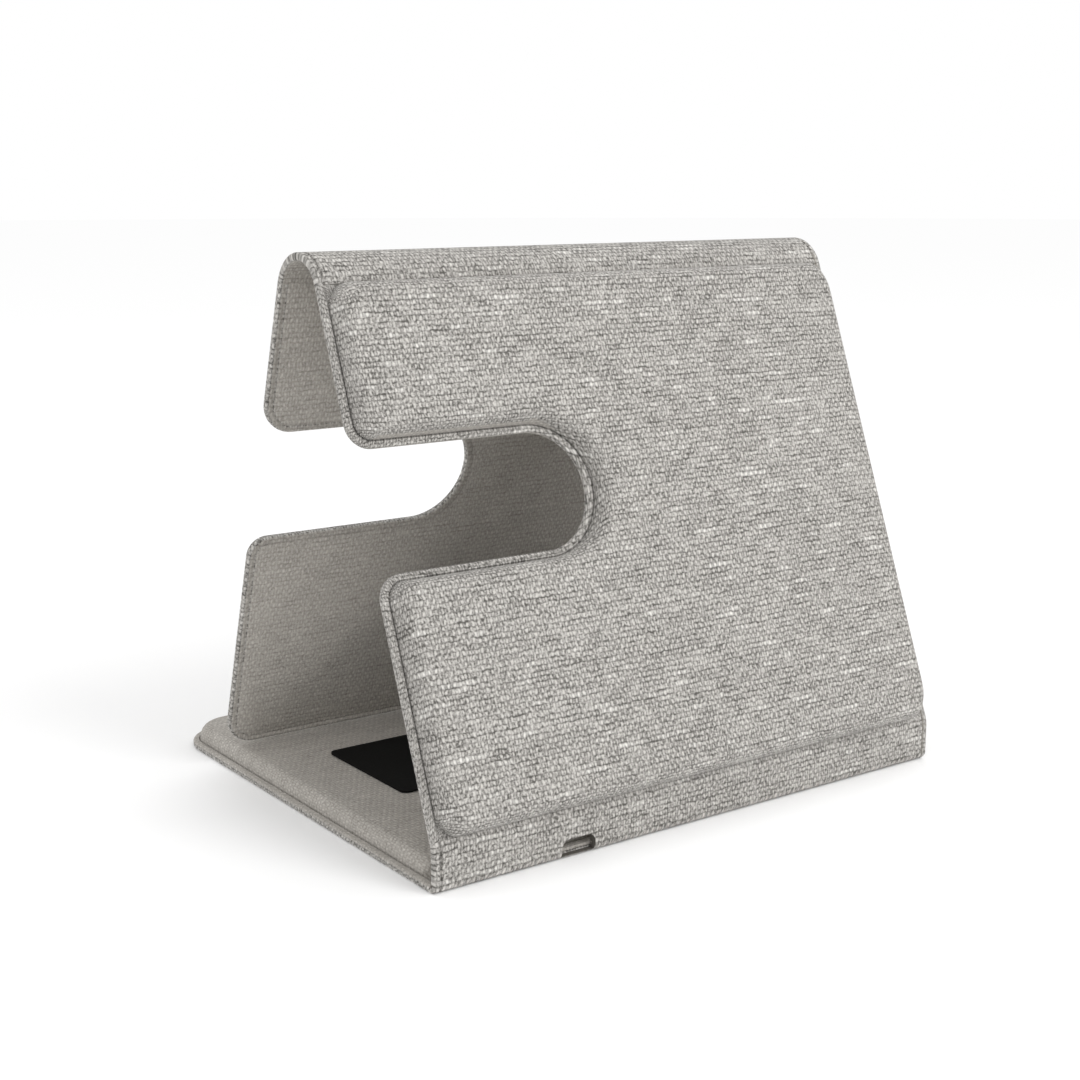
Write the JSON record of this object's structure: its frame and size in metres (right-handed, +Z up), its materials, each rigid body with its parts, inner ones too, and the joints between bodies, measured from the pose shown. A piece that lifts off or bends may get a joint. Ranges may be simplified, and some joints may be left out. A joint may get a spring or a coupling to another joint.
{
  "type": "folding tablet stand case",
  "caption": "Cloth-covered tri-fold folio standing as a tent: padded base, spine with cable notch, padded front and thin back with matching side slots, rounded top.",
  "frame": {"origin": "the middle of the base's flat underside", "axes": "+X along the folds, to the right seen from the front; +Y to the back; +Z up"},
  "size_m": [0.157, 0.1364, 0.1377],
  "materials": {
    "outer_cloth": "warm light grey slubby plain weave",
    "inner_cloth": "the same grey weave, as the lining",
    "stiffener_board": "grey-brown bookbinding board",
    "pad_foam": "fine closed-cell foam",
    "batten_plastic": "thin translucent-white sheet",
    "grip_rubber": "smooth matt black",
    "catch_steel": "rolled strip",
    "magnet_plating": "nickel plated"
  },
  "bodies": {
    "base": {"base_cover": "outer_cloth", "base_board": "stiffener_board", "base_lining": "inner_cloth", "base_foam": "pad_foam", "foot_catch_strip": "catch_steel", "grip_pad": "grip_rubber", "base_spine_fold": "outer_cloth"},
    "spine": {"spine_cover": "outer_cloth", "spine_board": "stiffener_board", "spine_lining": "inner_cloth", "spine_front_fold": "outer_cloth"},
    "front": {"front_lining": "inner_cloth", "front_board": "stiffener_board", "front_foam": "pad_foam", "front_cover": "outer_cloth", "front_top_fold": "outer_cloth"},
    "top_strip": {"top_cover": "outer_cloth", "top_batten": "batten_plastic", "top_lining": "inner_cloth", "top_back_fold": "outer_cloth"},
    "back": {"back_cover": "outer_cloth", "back_board": "stiffener_board", "back_lining": "inner_cloth", "foot_magnet_left": "magnet_plating", "foot_magnet_middle": "magnet_plating", "foot_magnet_right": "magnet_plating"}
  },
  "joints": [
    {"name": "spine_fold", "type": "hinge", "parent": "base", "child": "spine", "pos_m": [0, -0.0659, 0.0011], "axis": [1, 0, 0], "range_deg": [0, 90], "deforming": ["base_spine_fold"]},
    {"name": "front_fold", "type": "hinge", "parent": "spine", "child": "front", "pos_m": [0, -0.06593, 0.01059], "axis": [1, 0, 0], "range_deg": [-62.1, 18.1], "deforming": ["spine_front_fold"]},
    {"name": "top_front_fold", "type": "hinge", "parent": "front", "child": "top_strip", "pos_m": [0, -0.01709, 0.13458], "axis": [1, 0, 0], "range_deg": [-19.6, 67.1], "deforming": ["front_top_fold"]},
    {"name": "top_back_fold", "type": "hinge", "parent": "top_strip", "child": "back", "pos_m": [0, -0.00464, 0.13421], "axis": [1, 0, 0], "range_deg": [-19.5, 67], "deforming": ["top_back_fold"]}
  ],
  "couplings": [
    {"joint": "top_front_fold", "follows": "top_back_fold", "ratio": 1},
    {"joint": "front_fold", "follows": "top_back_fold", "ratio": -0.926}
  ]
}
